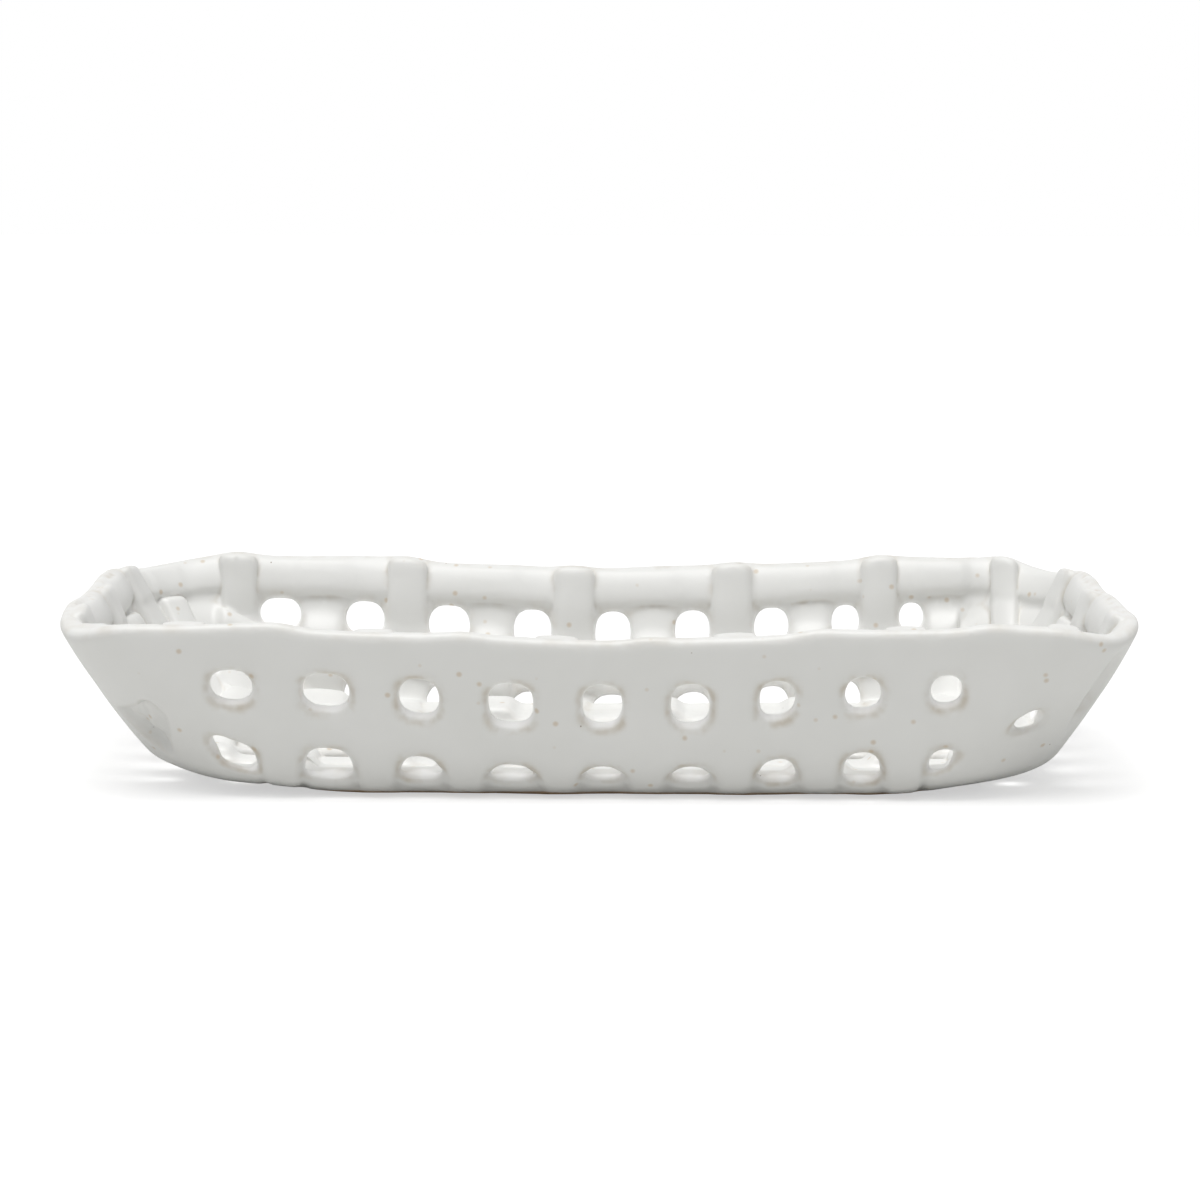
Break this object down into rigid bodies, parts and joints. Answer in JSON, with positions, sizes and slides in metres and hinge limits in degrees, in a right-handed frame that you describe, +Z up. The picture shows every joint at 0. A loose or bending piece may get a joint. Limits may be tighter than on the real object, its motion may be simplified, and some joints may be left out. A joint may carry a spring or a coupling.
{
  "type": "ceramic basket dish",
  "caption": "Long open-weave basket dish of white glazed clay strips with flared pierced walls, rounded corners and a woven rim; holds bread, fruit or small things.",
  "frame": {"origin": "centre of the bounding box, on the plane the base stands on", "axes": "+X along the length of the dish, +Y across it away from the viewer of the picture, +Z up out of the open mouth"},
  "size_m": [0.3428, 0.1784, 0.0629],
  "materials": {
    "white_glaze": "satin glaze"
  },
  "bodies": {
    "root": {"cross_strip_01": "white_glaze", "cross_strip_02": "white_glaze", "cross_strip_03": "white_glaze", "cross_strip_04": "white_glaze", "cross_strip_05": "white_glaze", "cross_strip_06": "white_glaze", "cross_strip_07": "white_glaze", "cross_strip_08": "white_glaze", "cross_strip_09": "white_glaze", "cross_strip_10": "white_glaze", "cross_strip_11": "white_glaze", "long_strip_1": "white_glaze", "long_strip_2": "white_glaze", "long_strip_3": "white_glaze", "long_strip_4": "white_glaze", "long_strip_5": "white_glaze", "side_band": "white_glaze", "rim_band": "white_glaze", "corner_stake_front": "white_glaze", "corner_stake_back": "white_glaze"}
  },
  "joints": []
}
